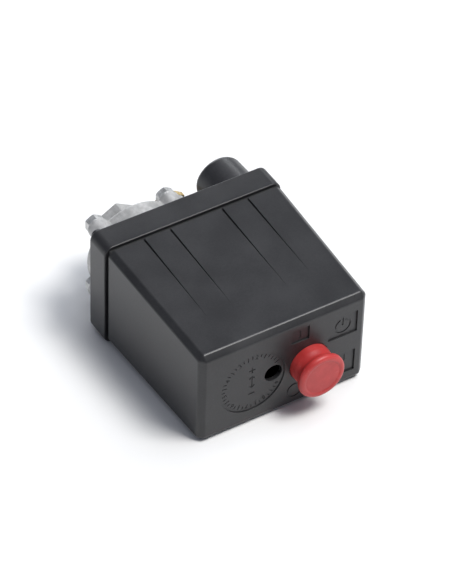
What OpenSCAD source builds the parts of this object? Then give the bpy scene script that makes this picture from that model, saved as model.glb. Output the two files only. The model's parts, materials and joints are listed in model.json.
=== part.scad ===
// Compressor pressure switch lying on its flat side.
// Origin: centre of the pressure port's mouth. +Y leaves the port, -Y is the knob side, +Z is up.

/* [Casing] */
// Width of the cover at its open end
cover_w = 70; // [69:0.5:72]
// Depth of the cover from its open end to the knob face
cover_d = 59.1; // [58.5:0.1:61]
// Thickness of the plastic walls
wall = 2; // [1.8:0.1:2.2]
// Flat chamfer along the cover's edges
cover_chamfer = 2; // [1:0.25:2.5]
// Depth of the collar below the seam
tray_d = 10.3; // [10:0.1:11]
// Width of the seam between cover and collar
seam_gap = 1.4; // [1:0.1:1.8]
// How far the collar stands proud of the cover
collar_proud = 0.8; // [0.4:0.1:1]
// Length of the grooves in the cover's top
groove_len = 43; // [30:1:48]

/* [Knob] */
// Diameter of the knob's cap
knob_d = 18.2; // [17:0.1:20]
// Diameter of the knob's neck
neck_d = 15.4; // [14:0.1:16]
// How far the cap's front stands off the cover
knob_reach = 9; // [7:0.1:10]
// Travel from pushed in to pulled out
knob_travel = 6; // [4:0.5:6]

/* [Port and flange] */
// Distance from the collar's back to the port's mouth
port_reach = 21.2; // [20.5:0.1:23]
// Diameter of the die-cast flange
flange_d = 38.2; // [37:0.1:39]
// Distance between flange screws along each side
screw_pitch = 28.6; // [28:0.1:29]
// Width across flats of the port's hexagon
port_flats = 17; // [16:0.5:19]
// Diameter of the quarter-inch pipe thread, at its crests
port_bore_d = 11.44; // [11.4:0.01:11.9]
// Distance from port axis to unloader axis
unloader_x = 21; // [20.5:0.1:21.5]

/* [Cable glands] */
// Distance from port axis to the glands
gland_x = 38; // [37.5:0.1:38.2]
// Height of each gland's axis above or below the port axis
gland_z = 10.6; // [10.3:0.1:10.8]
// Diameter of the gland nut
gland_d = 19.2; // [18.5:0.1:19.6]
// Diameter of the cable hole
cable_d = 8.8; // [7:0.1:9]

/* [Adjusters] */
// Distance from port axis to range screw
range_x = 8.9; // [8.5:0.1:9.1]
// Diameter of the range screw
range_screw_d = 5.84; // [5:0.02:5.84]
// Distance from port axis to differential screw
diff_x = -4.5; // [-4.8:0.1:-4.2]

/* [Quality] */
// Facets on a full circle
smoothness = 72; // [48:8:96]

/* [Hidden] */
$fn = smoothness;
eps = 0.5;
run = 0.08;                                  // radial running clearance
left = -22;                                  // cover's left side at the seam
right = left + cover_w;
cover_top = 22.6;
cover_low = -20.9;
side_draft = 1.56;
top_draft = 2.73;
low_draft = 0.9;
tray_back = -port_reach;
tray_front = tray_back - tray_d;
tray_floor = 2.6;
floor_y = tray_back - tray_floor;            // inside face of the tray's floor
tray_low = -22.2;
tray_top = 22.9;
corner_r = 3.5;
cover_back = tray_front - seam_gap;
cover_front = cover_back - cover_d;
lip_gap = 0.25;
lip_wall = 1.5;
lip_len = 4;
groove_xs = [-8, 2.5, 23.5, 34];
groove_w = 0.8;
groove_deep = 0.95;
cover_screws_at = [[-19.4, 19.9], [-19.4, -19.2]];
mech_z = -0.5;                               // height of the mechanism's middle plane
knob_x = 23.2;
knob_z = -1.8;
knob_front = cover_front - knob_reach;
stem_r = 2.9;
disc_r = 13;
disc_x = 0.3;
flange_back = -11.5;
pad_h = 0.5;
flange_at = [for (sx = [-1, 1], sz = [-1, 1]) [sx * screw_pitch / 2, sz * screw_pitch / 2]];
flange_shank_r = 1.95;
flange_head_t = 3;
flange_head_flats = 6.2;
ear_r = 3.9;
plate_t = 2.2;
plate_y = floor_y - plate_t;                 // inner face of the frame's base plate
diaphragm_t = 1.15;
diaphragm_r = 16;
pusher_r = 8;
cheek_out = 11.6;
cheek_t = 1.6;
strap_y = -72;                               // front face of the frame's strap
strap_t = 2;
pivot_x = -13;
pivot_y = -39;
pivot_r = 2;
lever_y = -37;                               // front face of the lever's plate
lever_t = 1.6;
lever_half = 9.6;
range_spring_r = 5.5;
diff_spring_r = 3.2;
diff_screw_r = 1.95;
seat_y = -62;
seat_t = 2.5;
carrier_x = [20.5, 26];
slice_t = 0.01;
bar_y = -50.4;
strip_y = -55.2;
strip_t = 1;
pole_in = 5;                                 // contact pads' distances from the middle plane
pole_out = 12.4;
block_half = 16.5;
barrier_t = 1.2;
terminal_x = 36;
gland_tube_r = 7.4;
gland_tube_len = 8.7;
gland_bore_r = 5.2;
tube_r = 3.1;                                // unloader tube's hole
boss_y = -2.6;                               // end of the unloader boss

// Extrudes an X-Z outline from y = rear forwards to y = front.
module slab(rear, front) {
    translate([0, rear, 0]) rotate([90, 0, 0]) linear_extrude(rear - front) children();
}

// Cylinder along Y.
module rod(at, r, rear, front) {
    slab(rear, front) translate(at) circle(r);
}

// Hexagonal prism along Y, with a corner pointing up.
module hex_rod(at, flats, rear, front) {
    slab(rear, front) translate(at) rotate(90) circle(flats / 2 / cos(30), $fn = 6);
}

// Body of revolution about a Y axis, from [radius, y] points.
module turned(at, points) {
    translate([at[0], 0, at[1]]) rotate([-90, 0, 0]) rotate_extrude() polygon(points);
}

module outline(x0, x1, z0, z1) {
    translate([x0, z0]) square([x1 - x0, z1 - z0]);
}

module round_outline(x0, x1, z0, z1, r) {
    outline(x0 + r, x1 - r, z0, z1);
    outline(x0, x1, z0 + r, z1 - r);
    for (x = [x0 + r, x1 - r], z = [z0 + r, z1 - r]) translate([x, z]) circle(r);
}

module chamfered_outline(x0, x1, z0, z1, c) {
    polygon([
        [x0 + c, z0], [x1 - c, z0], [x1, z0 + c], [x1, z1 - c],
        [x1 - c, z1], [x0 + c, z1], [x0, z1 - c], [x0, z0 + c],
    ]);
}

function drafted(y) = (cover_back - y) / cover_d;
function top_at(y) = cover_top - top_draft * drafted(y);

// Thin slice of the cover's outside, drawn inwards by inset.
module cover_slice(y, inset, chamfer) {
    k = drafted(y);
    slab(y, y - slice_t) chamfered_outline(
        left + side_draft * k + inset, right - side_draft * k - inset,
        cover_low + low_draft * k + inset, top_at(y) - inset, chamfer);
}

module cover_body(inset, front, chamfer, bevel) {
    hull() {
        cover_slice(cover_back, inset, chamfer);
        cover_slice(front + bevel, inset, chamfer);
        cover_slice(front + slice_t, inset + bevel, chamfer * 0.4);
    }
}

// Coil spring along Y: a round wire swept along a helix whose ends lie flat.
function coil_ring(a, r, wire, y) = [
    for (k = [0:5]) let (b = 60 * k)
        [(r + wire * cos(b)) * cos(a), y + wire * sin(b), (r + wire * cos(b)) * sin(a)]
];

module coil(at, r, wire, turns, rear, front) {
    steps = 16 * turns;
    span = rear - front - 2 * wire;
    points = [for (i = [0:steps]) each coil_ring(22.5 * i, r, wire, front + wire + span * i / steps)];
    sides = [
        for (i = [0:steps - 1], k = [0:5]) let (a = 6 * i + k, b = 6 * i + (k + 1) % 6)
            each [[a, a + 6, b + 6], [a, b + 6, b]]
    ];
    caps = [[0, 1, 2, 3, 4, 5], [for (k = [5:-1:0]) 6 * steps + k]];
    translate([at[0], 0, at[1]]) polyhedron(points, concat(sides, caps));
}

module lip_outline(grow) {
    inset = wall + lip_gap - grow;
    chamfered_outline(left + inset, right - inset, cover_low + inset, cover_top - inset, 1);
}

module base_tray() {
    color([0.22, 0.22, 0.23]) {
        difference() {
            union() {
                slab(tray_back, tray_front) round_outline(
                    left - collar_proud, right + collar_proud, tray_low, tray_top, corner_r);
                slab(tray_front + eps, cover_back - lip_len) lip_outline(0);
                for (s = [-1, 1]) {
                    rod([gland_x, s * gland_z], gland_tube_r, tray_back + gland_tube_len, tray_back - eps);
                }
            }
            slab(floor_y, cover_back - lip_len - eps) lip_outline(-lip_wall);
            rod([0, 0], diaphragm_r + 0.2, tray_back + eps, floor_y - eps);
            for (p = flange_at) rod(p, 2.3, tray_back + eps, floor_y - eps);
            for (p = cover_screws_at) {
                rod(p, 1.4, tray_back + eps, tray_front - eps);
                rod(p, 3, tray_front, cover_back - lip_len - eps);
            }
            rod([unloader_x, 0], 3.2, tray_back + eps, floor_y - eps);
            for (s = [-1, 1]) {
                rod([gland_x, s * gland_z], gland_bore_r, tray_back + gland_tube_len + eps, floor_y - eps);
            }
        }
    }
}

module cover_gasket() {
    color([0.08, 0.08, 0.08]) difference() {
        slab(tray_front, cover_back) difference() {
            outline(left + 1, right - 1, cover_low + 1, cover_top - 1);
            difference() {
                lip_outline(0.05);
                for (p = cover_screws_at) translate(p) circle(2.9);
            }
        }
        for (p = cover_screws_at) rod(p, 1.5, tray_front + eps, cover_back - eps);
    }
}

module port_casting() {
    color([0.72, 0.72, 0.73]) difference() {
        union() {
            turned([0, 0], [
                [0, tray_back], [flange_d / 2, tray_back], [flange_d / 2, flange_back - 1],
                [flange_d / 2 - 1, flange_back], [0, flange_back],
            ]);
            for (p = flange_at) rod(p, ear_r, flange_back, tray_back);
            hex_rod([0, 0], port_flats, 0, flange_back - eps);
            rod([unloader_x, 0], 6.3, boss_y, tray_back);
            rod([unloader_x, 0], 4.6, -2.4, boss_y - eps);
            slab(-13, tray_back) outline(0, unloader_x, -5, 5);
        }
        rod([0, 0], port_bore_d / 2, eps, -13);
        rod([0, 0], 2.5, -12, -19);
        rod([0, 0], 12.5, -18.5, tray_back - eps);
        for (p = flange_at) rod(p, 2.2, flange_back + eps, tray_back - eps);
        rod([unloader_x, 0], tube_r, 0, -10);
        rod([unloader_x, 0], 1.35, -9, tray_back - eps);
        rod([unloader_x, 0], 2.7, -14.2, tray_back - eps);
    }
}

module flange_screws() {
    color([0.78, 0.78, 0.8]) for (p = flange_at) {
        hex_rod(p, flange_head_flats, flange_back + flange_head_t, flange_back);
        rod(p, flange_shank_r, flange_back + eps, plate_y - 1.4);
    }
}

module diaphragm() {
    color([0.12, 0.12, 0.12]) rod([0, 0], diaphragm_r, tray_back - 0.05, tray_back - 0.05 - diaphragm_t);
}

module diaphragm_ring() {
    color([0.6, 0.6, 0.62]) difference() {
        rod([0, 0], diaphragm_r, tray_back - 0.1 - diaphragm_t, floor_y + 0.05);
        rod([0, 0], pusher_r + 0.6, tray_back, floor_y - eps);
    }
}

module pusher() {
    color([0.85, 0.84, 0.78]) {
        rod([0, 0], pusher_r, tray_back - 0.15 - diaphragm_t, tray_back - 2.4 - diaphragm_t);
        rod([0, 0], 3, tray_back - 2 - diaphragm_t, lever_y + lever_t + 0.2);
    }
}

module cheek(z0) {
    translate([0, 0, z0]) difference() {
        linear_extrude(cheek_t) polygon([
            [-17, plate_y + 0.4], [16, plate_y + 0.4], [16, strap_y], [-11, strap_y], [-11, -46], [-17, -42],
        ]);
        translate([pivot_x, pivot_y, -eps]) cylinder(cheek_t + 2 * eps, r = pivot_r + 0.05);
    }
}

module main_frame() {
    color([0.66, 0.67, 0.62]) {
        difference() {
            slab(floor_y, plate_y) outline(-17.6, 27.5, -16.6, 16.6);
            rod([0, 0], pusher_r + 0.6, floor_y + eps, plate_y - eps);
            for (p = flange_at) rod(p, 2.05, floor_y + eps, plate_y - eps);
            rod([unloader_x, 0], 3.2, floor_y + eps, plate_y - eps);
            rod([23.5, 12], 1.6, floor_y + eps, plate_y - eps);
        }
        cheek(mech_z + cheek_out - cheek_t);
        cheek(mech_z - cheek_out);
        difference() {
            slab(strap_y + strap_t, strap_y) {
                outline(-11, 16, mech_z - cheek_out, mech_z + cheek_out);
                outline(15, 28, mech_z - 6, mech_z + 6);
            }
            rod([range_x, mech_z], range_screw_d / 2 + run, strap_y + strap_t + eps, strap_y - eps);
            rod([diff_x, mech_z], diff_screw_r + run, strap_y + strap_t + eps, strap_y - eps);
            rod([knob_x, knob_z], stem_r + run, strap_y + strap_t + eps, strap_y - eps);
        }
    }
}

module pivot_pin() {
    color([0.75, 0.75, 0.76]) {
        translate([pivot_x, pivot_y, mech_z - cheek_out - 1]) cylinder(2 * cheek_out + 2, r = pivot_r);
        translate([pivot_x, pivot_y, mech_z - cheek_out - 1.6]) cylinder(1.55, r = 3);
        translate([pivot_x, pivot_y, mech_z + cheek_out + 0.05]) cylinder(1.2, r = 3);
    }
}

module main_lever() {
    color([0.7, 0.7, 0.66]) difference() {
        union() {
            slab(lever_y + lever_t, lever_y) outline(-15.5, 16.5, mech_z - lever_half, mech_z + lever_half);
            for (z0 = [mech_z - lever_half, mech_z + lever_half - cheek_t]) {
                translate([0, 0, z0]) linear_extrude(cheek_t) polygon([
                    [-16, lever_y + 0.2], [14, lever_y + 0.2], [10, -41], [-10, -42.5], [-16, -42.5],
                ]);
            }
        }
        translate([pivot_x, pivot_y, mech_z - 12]) cylinder(24, r = pivot_r + 0.05);
    }
}

module spring_foot() {
    color([0.75, 0.72, 0.6]) {
        rod([range_x, mech_z], 7, lever_y - 0.02, lever_y - 1.2);
        rod([range_x, mech_z], 4.2, lever_y - 1, lever_y - 3);
    }
}

module range_screw() {
    color([0.8, 0.78, 0.7]) difference() {
        union() {
            rod([range_x, mech_z], range_screw_d / 2, strap_y + 27, strap_y - 2);
            rod([range_x, mech_z], 4.5, strap_y - 0.1, strap_y - 4.4);
        }
        slab(strap_y - 3, strap_y - 5) translate([range_x, mech_z]) square([10, 1.2], center = true);
    }
}

module seat(at, half_x, hole_r) {
    difference() {
        slab(seat_y + seat_t, seat_y) translate(at) square([2 * half_x, 18], center = true);
        rod(at, hole_r, seat_y + seat_t + eps, seat_y - eps);
    }
}

module range_seat() {
    color([0.7, 0.7, 0.72]) seat([range_x, mech_z], 6.8, range_screw_d / 2 + run);
}

module range_spring() {
    color([0.5, 0.5, 0.53]) coil([range_x, mech_z], range_spring_r, 0.8, 7, lever_y - 1.25, seat_y + seat_t + 0.05);
}

module differential_screw() {
    color([0.8, 0.78, 0.7]) difference() {
        union() {
            rod([diff_x, mech_z], diff_screw_r, strap_y + 24, strap_y - 2);
            rod([diff_x, mech_z], 3.4, strap_y - 0.1, strap_y - 3.4);
        }
        slab(strap_y - 2.4, strap_y - 4) translate([diff_x, mech_z]) square([8, 0.9], center = true);
    }
}

module differential_seat() {
    color([0.7, 0.7, 0.72]) seat([diff_x, mech_z], 4.4, diff_screw_r + run);
}

module differential_spring() {
    color([0.5, 0.5, 0.53]) coil([diff_x, mech_z], diff_spring_r, 0.5, 9, lever_y - 0.05, seat_y + seat_t + 0.05);
}

module cover_marks() {
    rod([disc_x, mech_z], disc_r, cover_front + 0.4, cover_front - eps);
    slab(cover_front + 0.6, cover_front - eps) {
        outline(30.6, 42.3, 3.8, 13.5);
        outline(34, 42.1, -14.5, -4.6);
        outline(15.5, 22.7, 9.7, 15.7);
    }
}

// Each groove is a V whose floor falls less than the drafted top does, until it runs out.
module cover_grooves() {
    fall = atan(top_draft / cover_d) - atan(groove_deep / groove_len);
    for (x = groove_xs) {
        translate([x, cover_back, cover_top - groove_deep]) rotate([90 + fall, 0, 0]) {
            translate([0, 0, -1]) linear_extrude(groove_len * 1.2) polygon([
                [0, 0], [groove_w, 2 * groove_deep], [-groove_w, 2 * groove_deep],
            ]);
        }
    }
}

module cover() {
    color([0.26, 0.26, 0.27]) difference() {
        cover_body(0, cover_front, cover_chamfer, cover_chamfer);
        difference() {
            union() {
                cover_body(wall, cover_front + wall, 0.8, 0.8);
                slab(cover_back + eps, cover_back - 0.1) outline(
                    left + wall, right - wall, cover_low + wall, cover_top - wall);
            }
            for (p = cover_screws_at) rod(p, 2.7, cover_back, cover_back - 11);
        }
        for (p = cover_screws_at) rod(p, 1.3, cover_back + eps, cover_back - 10);
        rod([knob_x, knob_z], neck_d / 2 + 0.15, cover_front + wall + eps, cover_front - eps);
        rod([range_x, mech_z], 3.5, cover_front + wall + eps, cover_front - eps);
        cover_marks();
        cover_grooves();
    }
}

module knob() {
    cap_r = knob_d / 2;
    neck_r = neck_d / 2;
    tail = cover_front + 9.5;
    color([0.75, 0.16, 0.15]) difference() {
        turned([knob_x, knob_z], [
            [0, knob_front + 0.4], [cap_r - 2.4, knob_front + 0.4], [cap_r - 1.6, knob_front],
            [cap_r - 0.8, knob_front + 0.15], [cap_r, knob_front + 1], [cap_r, knob_front + 1.8],
            [cap_r - 0.7, knob_front + 2.6], [neck_r + 0.3, knob_front + 3.1],
            [neck_r - 0.5, knob_front + 3.7], [neck_r - 0.55, knob_front + 4.4],
            [neck_r, knob_front + 6.8], [neck_r, tail - 1.3],
            [neck_r + 0.9, tail - 1.3], [neck_r + 0.4, tail], [neck_r - 1.5, tail],
            [neck_r - 1.5, cover_front - 3], [4.5, cover_front - 3], [4.5, tail], [0, tail],
        ]);
        rod([knob_x, knob_z], stem_r + 0.1, tail + eps, cover_front - 3);
        // two windows split the tail into spring fingers
        slab(tail + eps, cover_front + 3) for (a = [0, 90]) {
            translate([knob_x, knob_z]) rotate(a) difference() {
                square([20, 3], center = true);
                circle(4.6);
            }
        }
    }
}

module knob_stem() {
    color([0.82, 0.82, 0.78]) {
        rod([knob_x, knob_z], stem_r, -62, cover_front - 2.6);
        rod([knob_x, knob_z], 5, -61.9, -63.4);
    }
}

module trip_spring() {
    color([0.6, 0.6, 0.62]) coil([knob_x, knob_z], 3, 0.4, 3, -57.25, -61.85);
}

module contact_carrier() {
    w = carrier_x[1] - carrier_x[0];
    color([0.86, 0.86, 0.82]) {
        translate([carrier_x[0], -57, mech_z - 2.4]) cube([w, 12, 4.8]);
        translate([carrier_x[0], -46, mech_z - 15]) cube([w, 4, 30]);
        for (s = [-1, 1]) rod([23.2, mech_z + s * 9], 1.2, -45, -48);
    }
}

// Bridge bar of one pole: side is +1 for the upper pole, -1 for the lower one.
module bridge(side) {
    mid = (pole_in + pole_out) / 2;
    translate([0, 0, mech_z + side * mid]) {
        translate([20.9, bar_y, -5.4]) cube([4.6, 1, 10.8]);
        for (s = [-1, 1]) rod([23.2, s * (pole_out - pole_in) / 2], 1.6, bar_y + 0.2, bar_y - pad_h);
    }
}

module contact_bridge_upper() {
    color([0.72, 0.45, 0.3]) bridge(1);
}

module contact_bridge_lower() {
    color([0.72, 0.45, 0.3]) bridge(-1);
}

module contact_springs() {
    color([0.6, 0.6, 0.62]) for (s = [-1, 1]) {
        coil([23.2, mech_z + s * 9], 1.9, 0.3, 4, -46.05, bar_y + 1.05);
    }
}

module terminal_block() {
    between = (pole_in + pole_out) / (2 * block_half - barrier_t);
    poles = [for (s = [-1, 1], d = [pole_in, pole_out]) mech_z + s * d];
    color([0.15, 0.13, 0.12]) difference() {
        union() {
            translate([28.5, strip_y + strip_t, mech_z - block_half]) cube([15, 10.2, 2 * block_half]);
            for (z = [-1, -between, 0, between, 1] * (block_half - barrier_t / 2)) {
                translate([30, strip_y - 4, mech_z + z - barrier_t / 2]) cube([13.5, 6, barrier_t]);
            }
            translate([29.5, -45, mech_z - 3.5]) cube([13.5, 45 + floor_y, 7]);
        }
        for (z = poles) rod([terminal_x, z], 1.6, -45.5, -60);
    }
}

module fixed_contacts() {
    color([0.8, 0.66, 0.35]) for (s = [-1, 1], d = [pole_in, pole_out]) {
        z = mech_z + s * d;
        difference() {
            translate([21.2, strip_y, z - 2.2]) cube([19.8, strip_t - 0.03, 4.4]);
            rod([terminal_x, z], 1.7, strip_y + strip_t + eps, strip_y - eps);
        }
        rod([23.2, z], 1.6, strip_y + strip_t + 0.8, strip_y + 0.2);
    }
}

module terminal_clamps() {
    color([0.75, 0.75, 0.76]) for (s = [-1, 1], d = [pole_in, pole_out]) {
        difference() {
            slab(strip_y - 0.03, strip_y - 1.1) translate([terminal_x, mech_z + s * d]) square(5.2, center = true);
            rod([terminal_x, mech_z + s * d], 1.7, strip_y + eps, strip_y - 2);
        }
    }
}

module terminal_screws() {
    color([0.8, 0.8, 0.82]) for (s = [-1, 1], d = [pole_in, pole_out]) {
        at = [terminal_x, mech_z + s * d];
        difference() {
            union() {
                rod(at, 1.5, -46.5, strip_y - 2);
                rod(at, 2.6, strip_y - 1.15, strip_y - 3.2);
            }
            slab(strip_y - 2.3, strip_y - 4) translate(at) square([7, 0.8], center = true);
        }
    }
}

module earth_screw() {
    at = [23.5, 12];
    color([0.8, 0.68, 0.35]) difference() {
        union() {
            rod(at, 1.5, floor_y - 0.1, plate_y - 1);
            rod(at, 3, plate_y - 0.05, plate_y - 2.4);
        }
        slab(plate_y - 1.5, plate_y - 3) translate(at) square([8, 0.8], center = true);
    }
}

module cover_screws() {
    color([0.3, 0.3, 0.3]) for (p = cover_screws_at) {
        rod(p, 2.2, tray_back + 1.6, tray_back + 0.02);
        rod(p, 1.2, tray_back + eps, cover_back - 9.5);
    }
}

module gland_nut(z) {
    r = gland_d / 2;
    end = -6.2;
    grip = -9.5;
    color([0.25, 0.25, 0.26]) turned([gland_x, z], [
        [gland_tube_r + 0.1, tray_back + 0.3], [r, tray_back + 0.3], [r, -18], [r - 0.3, end - 1.8],
        [r - 0.8, end - 0.6], [r - 1.9, end], [cable_d / 2, end], [cable_d / 2, grip],
        [6.3, grip], [6.3, grip - 2.75], [gland_tube_r + 0.1, grip - 2.75],
    ]);
}

module gland_nut_upper() {
    gland_nut(gland_z);
}

module gland_nut_lower() {
    gland_nut(-gland_z);
}

module gland_seal(z) {
    color([0.1, 0.1, 0.1]) difference() {
        rod([gland_x, z], 6.1, -9.6, tray_back + gland_tube_len + 0.05);
        rod([gland_x, z], 3.6, -9, tray_back + gland_tube_len - eps);
    }
}

module gland_seal_upper() {
    gland_seal(gland_z);
}

module gland_seal_lower() {
    gland_seal(-gland_z);
}

module unloader_nut() {
    color([0.82, 0.64, 0.3]) difference() {
        intersection() {
            hex_rod([unloader_x, 0], 12, 0, boss_y + 0.1);
            turned([unloader_x, 0], [[0, boss_y], [7, boss_y], [7, -1.2], [5.9, 0], [0, 0]]);
        }
        rod([unloader_x, 0], 4.7, -1.2, -5);
        rod([unloader_x, 0], tube_r, eps, -5);
    }
}

module unloader_ferrule() {
    color([0.85, 0.7, 0.35]) difference() {
        rod([unloader_x, 0], 4.4, -1.25, -2.35);
        rod([unloader_x, 0], tube_r, -1, -3);
    }
}

module unloader_pin() {
    color([0.85, 0.7, 0.35]) {
        rod([unloader_x, 0], 1.25, -10.5, -41.8);
        rod([unloader_x, 0], 2.5, -19, -20);
    }
}

module unloader_spring() {
    color([0.6, 0.6, 0.62]) coil([unloader_x, 0], 1.95, 0.3, 4, -14.3, -18.95);
}

base_tray();
cover_gasket();
port_casting();
flange_screws();
diaphragm();
diaphragm_ring();
main_frame();
pivot_pin();
terminal_block();
fixed_contacts();
terminal_clamps();
terminal_screws();
earth_screw();
gland_seal_upper();
gland_seal_lower();
cover_screws();
unloader_ferrule();
unloader_spring();
range_spring();
differential_spring();
trip_spring();
cover();
knob();
knob_stem();
contact_carrier();
contact_bridge_upper();
contact_bridge_lower();
contact_springs();
unloader_pin();
main_lever();
spring_foot();
pusher();
range_screw();
range_seat();
differential_screw();
differential_seat();
gland_nut_upper();
gland_nut_lower();
unloader_nut();
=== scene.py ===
import json
import math
import bmesh
import bpy
from mathutils import Matrix, Vector

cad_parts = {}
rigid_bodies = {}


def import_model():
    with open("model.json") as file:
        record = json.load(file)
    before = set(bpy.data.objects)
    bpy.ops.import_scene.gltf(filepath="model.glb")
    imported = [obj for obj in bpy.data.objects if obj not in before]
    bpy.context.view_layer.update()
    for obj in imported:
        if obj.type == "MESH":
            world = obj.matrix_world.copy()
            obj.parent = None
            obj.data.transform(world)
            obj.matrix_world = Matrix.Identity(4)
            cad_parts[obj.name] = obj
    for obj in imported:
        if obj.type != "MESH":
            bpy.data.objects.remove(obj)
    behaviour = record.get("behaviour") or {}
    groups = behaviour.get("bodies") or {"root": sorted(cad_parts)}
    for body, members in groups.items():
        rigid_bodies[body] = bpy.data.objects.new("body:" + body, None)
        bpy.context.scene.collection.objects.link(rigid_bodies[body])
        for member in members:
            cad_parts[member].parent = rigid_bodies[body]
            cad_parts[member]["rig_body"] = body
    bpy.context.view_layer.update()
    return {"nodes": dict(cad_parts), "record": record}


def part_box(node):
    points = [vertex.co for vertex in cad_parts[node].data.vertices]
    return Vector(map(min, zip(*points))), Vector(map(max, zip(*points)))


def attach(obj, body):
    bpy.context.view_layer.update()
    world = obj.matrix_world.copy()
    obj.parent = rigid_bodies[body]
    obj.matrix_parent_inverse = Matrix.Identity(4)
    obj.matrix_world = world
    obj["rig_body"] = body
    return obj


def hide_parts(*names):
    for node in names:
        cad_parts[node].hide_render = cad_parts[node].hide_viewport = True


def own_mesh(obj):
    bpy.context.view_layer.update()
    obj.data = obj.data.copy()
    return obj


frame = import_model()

# Shapes are drawn in millimetres and become metres in newPiece.
mm = 0.001
casing = "casing"


def box(node):
    low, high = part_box(node)
    return low / mm, high / mm


coverLow, coverHigh = box("cover")
trayLow, trayHigh = box("base_tray")
seamBack = box("cover_gasket")[1].y
knobLow, knobHigh = box("knob")
knobAt = ((knobLow.x + knobHigh.x) / 2, (knobLow.z + knobHigh.z) / 2)
nutLow, nutHigh = box("unloader_nut")
unloaderAt = ((nutLow.x + nutHigh.x) / 2, 0)
collarDepth = 10.3
trayBack = seamBack + collarDepth
plasticWall = 2


def block(x, y, z):
    bm = bmesh.new()
    bmesh.ops.create_cube(bm, size=1)
    bmesh.ops.scale(bm, vec=(x[1] - x[0], y[1] - y[0], z[1] - z[0]), verts=bm.verts)
    middle = ((x[0] + x[1]) / 2, (y[0] + y[1]) / 2, (z[0] + z[1]) / 2)
    bmesh.ops.translate(bm, vec=middle, verts=bm.verts)
    return bm


def turned(profile, at, steps=72):
    # spins (radius, y) points round an axis along Y
    bm = bmesh.new()
    verts = [bm.verts.new((at[0] + radius, y, at[1])) for radius, y in profile]
    edges = [bm.edges.new(pair) for pair in zip(verts, verts[1:])]
    bmesh.ops.spin(bm, geom=verts + edges, cent=(at[0], 0, at[1]), axis=(0, 1, 0),
                   angle=2 * math.pi, steps=steps, use_merge=True)
    bmesh.ops.remove_doubles(bm, verts=bm.verts, dist=0.0005)
    bmesh.ops.recalc_face_normals(bm, faces=bm.faces)
    return bm


def rod(at, radius, y0, y1, steps=72):
    return turned([(0, y0), (radius, y0), (radius, y1), (0, y1)], at, steps)


def ring(at, inner, outer, y0, y1, steps=72):
    return turned([(inner, y0), (outer, y0), (outer, y1), (inner, y1), (inner, y0)], at, steps)


def hexRod(at, flats, y0, y1):
    # a hexagon along Y, one corner up
    bm = bmesh.new()
    radius = flats / 2 / math.cos(math.radians(30))
    bmesh.ops.create_cone(bm, cap_ends=True, segments=6, radius1=radius, radius2=radius, depth=y1 - y0)
    bmesh.ops.rotate(bm, cent=(0, 0, 0), matrix=Matrix.Rotation(math.radians(-90), 3, "X"), verts=bm.verts)
    bmesh.ops.translate(bm, vec=(at[0], (y0 + y1) / 2, at[1]), verts=bm.verts)
    return bm


def spring(at, radius, wire, turns, y0, y1, bars=10):
    # one flat turn at each end, the rest of the coil in between
    bm = bmesh.new()
    bmesh.ops.create_circle(bm, cap_ends=False, segments=bars, radius=wire)
    bmesh.ops.translate(bm, vec=(at[0] + radius, y0 + wire, at[1]), verts=bm.verts)
    free = y1 - y0 - 2 * wire - 4 * wire
    last = bm.verts[:] + bm.edges[:]
    for share, rise in ((1, 2 * wire), (turns - 2, free), (1, 2 * wire)):
        steps = max(2, round(28 * share))
        made = bmesh.ops.spin(bm, geom=last, cent=(at[0], 0, at[1]), axis=(0, -1, 0),
                              dvec=(0, rise / steps, 0), angle=2 * math.pi * share, steps=steps)
        last = made["geom_last"]
    bmesh.ops.remove_doubles(bm, verts=bm.verts, dist=0.0005)
    bmesh.ops.holes_fill(bm, edges=bm.edges, sides=bars)
    bmesh.ops.recalc_face_normals(bm, faces=bm.faces)
    return bm


def gather(first, *others):
    # puts several shapes into one mesh and leaves them apart
    for other in others:
        spare = bpy.data.meshes.new("spare")
        other.to_mesh(spare)
        other.free()
        first.from_mesh(spare)
        bpy.data.meshes.remove(spare)
    return first


def workObject(bm):
    spare = bpy.data.meshes.new("spare")
    bm.to_mesh(spare)
    made = bpy.data.objects.new("spare", spare)
    bpy.context.collection.objects.link(made)
    return made


def discard(made):
    spare = made.data
    bpy.data.objects.remove(made)
    bpy.data.meshes.remove(spare)


def carve(bm, tool, operation="DIFFERENCE", crossing=False):
    # cuts tool out of bm, or joins or intersects the two
    body = workObject(bm)
    cutter = workObject(tool)
    cut = body.modifiers.new("cut", "BOOLEAN")
    cut.object = cutter
    cut.operation = operation
    cut.solver = "EXACT"
    cut.use_self = crossing
    bpy.context.view_layer.update()
    bm.clear()
    bm.from_object(body, bpy.context.evaluated_depsgraph_get())
    discard(body)
    discard(cutter)
    tool.free()
    return bm


def softEdges(bm, width, segments=2, least=35):
    # rounds the sharp outer edges
    bmesh.ops.remove_doubles(bm, verts=bm.verts, dist=0.002)
    bmesh.ops.dissolve_limit(bm, angle_limit=math.radians(1), verts=bm.verts, edges=bm.edges)
    sharp = [e for e in bm.edges if e.is_manifold and e.is_convex
             and e.calc_face_angle(0) > math.radians(least)]
    bmesh.ops.bevel(bm, geom=sharp, offset=width, offset_type="OFFSET", segments=segments, profile=0.5,
                    affect="EDGES", clamp_overlap=True, material=-1)
    return bm


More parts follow.
